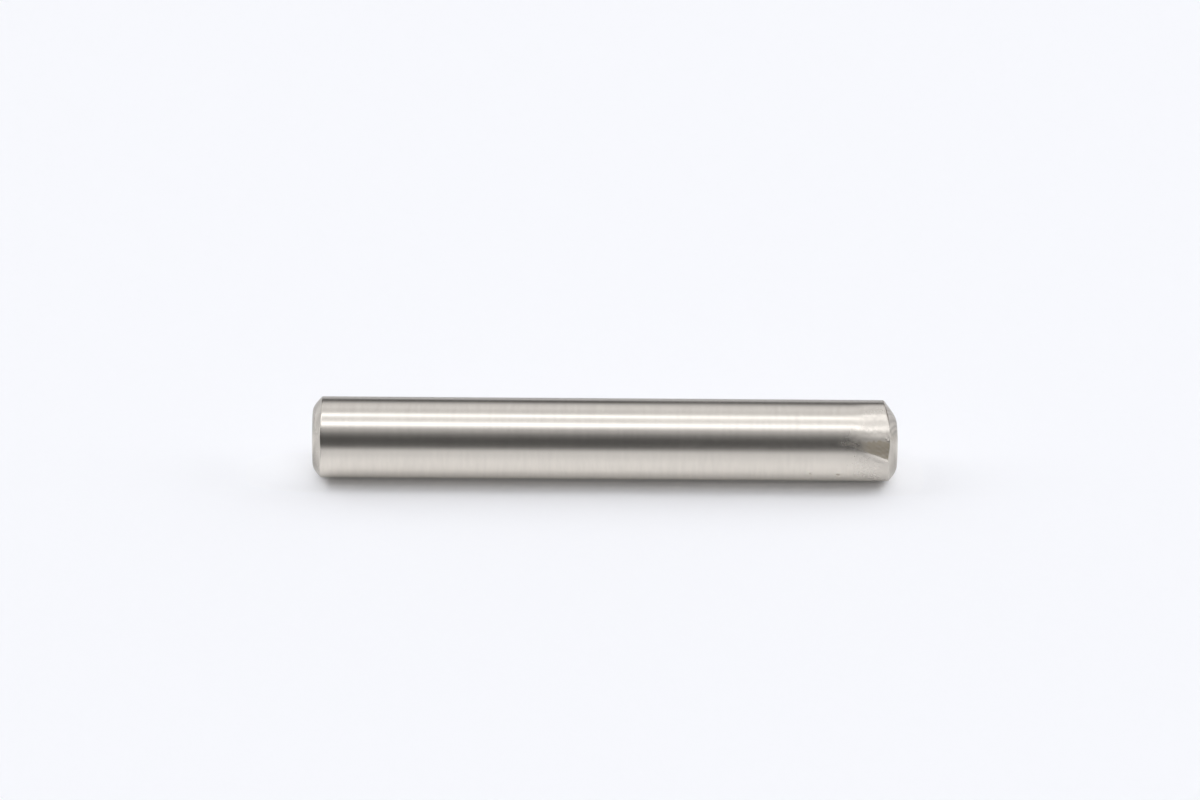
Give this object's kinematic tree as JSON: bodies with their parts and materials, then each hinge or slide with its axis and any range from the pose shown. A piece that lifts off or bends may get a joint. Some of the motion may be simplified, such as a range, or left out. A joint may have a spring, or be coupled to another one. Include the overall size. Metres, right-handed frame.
{
  "type": "dowel pin",
  "caption": "Straight ground steel dowel pin with bevelled ends and a press mark at one end, pressed into holes to locate two parts.",
  "frame": {"origin": "centre of the clean end's flat face, on which the pin stands", "axes": "+Z along the pin's axis towards the dented end, +X towards the middle of the press mark"},
  "size_m": [0.008, 0.008, 0.0571],
  "materials": {
    "ground_steel": "bare steel, ground round the axis, with fine grind lines and a few marks"
  },
  "bodies": {
    "root": {"dowel_pin": "ground_steel"}
  },
  "joints": []
}
